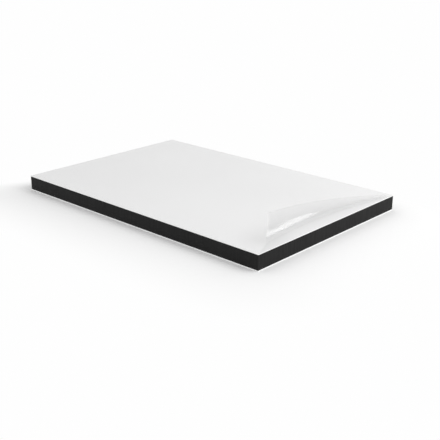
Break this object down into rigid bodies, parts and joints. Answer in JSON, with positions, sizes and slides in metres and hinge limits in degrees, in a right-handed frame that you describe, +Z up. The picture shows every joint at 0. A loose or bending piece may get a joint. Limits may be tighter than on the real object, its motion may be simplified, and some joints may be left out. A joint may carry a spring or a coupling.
{
  "type": "foam pvc sheet",
  "caption": "Flat rectangular foamed PVC sheet with a black foam core between white skins and a clear protective film peeled up in a curled strip along one short edge.",
  "frame": {"origin": "middle of the underside of the sheet", "axes": "+X along the long edges towards the short edge with the loose film strip, +Y along the short edges, +Z up out of the film-covered face"},
  "size_m": [0.3, 0.2, 0.0371],
  "materials": {
    "black_foam": "fine sawn foam",
    "white_skin": "satin",
    "clear_film": "smooth clear film"
  },
  "bodies": {
    "root": {"foam_core": "black_foam", "bottom_skin": "white_skin", "top_skin": "white_skin", "protective_film": "clear_film"}
  },
  "joints": []
}
